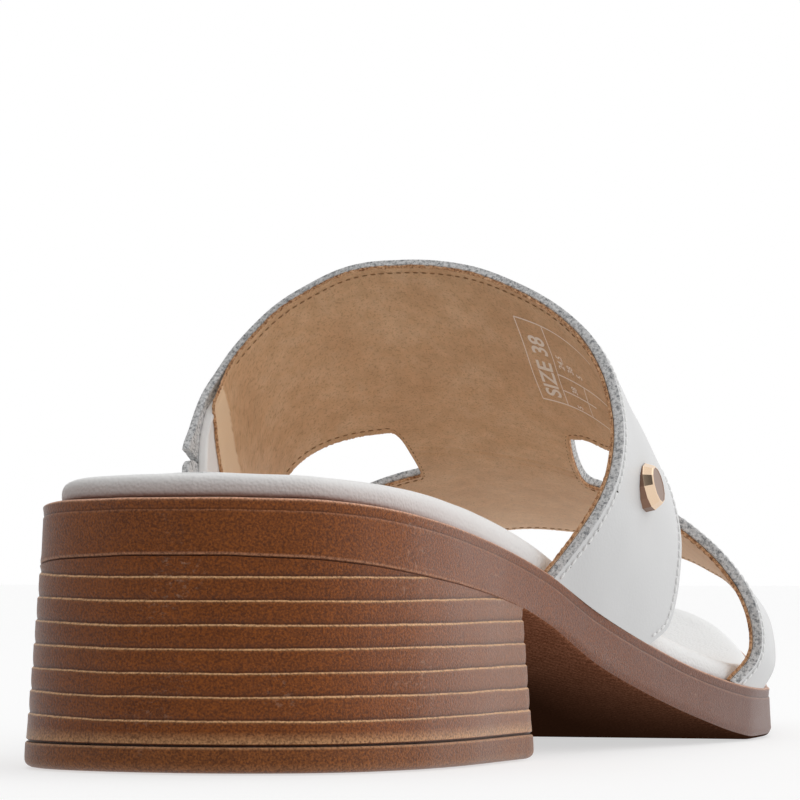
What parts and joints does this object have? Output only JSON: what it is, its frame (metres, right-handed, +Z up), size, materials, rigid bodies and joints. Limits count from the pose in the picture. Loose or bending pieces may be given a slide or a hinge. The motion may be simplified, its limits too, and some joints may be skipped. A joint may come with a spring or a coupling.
{
  "type": "slide sandal",
  "caption": "Women's right-foot slide sandal: white leather upper with a wide instep band, a bridge and a toe band on a padded insole, a moulded sole and a stacked block heel.",
  "frame": {"origin": "middle of the sandal's bounding box on the floor it stands on", "axes": "+Y from heel to toe, +X to the outer (lateral) side of the right foot, +Z up"},
  "size_m": [0.0911, 0.2515, 0.0795],
  "materials": {
    "upper_leather": "smooth matt white outside, tan lining",
    "elastic": "woven, matt",
    "stud": "polished rose gold",
    "insole_cover": "grained, matt",
    "sole": "satin moulded brown",
    "heel_stack": "satin, grooved like stacked leather",
    "top_lift": "matt"
  },
  "bodies": {
    "root": {"upper": "upper_leather", "inner_leg_tab": "upper_leather", "elastic": "elastic", "stud": "stud", "insole": "insole_cover", "sole": "sole", "heel": "heel_stack", "top_lift": "top_lift"}
  },
  "joints": []
}
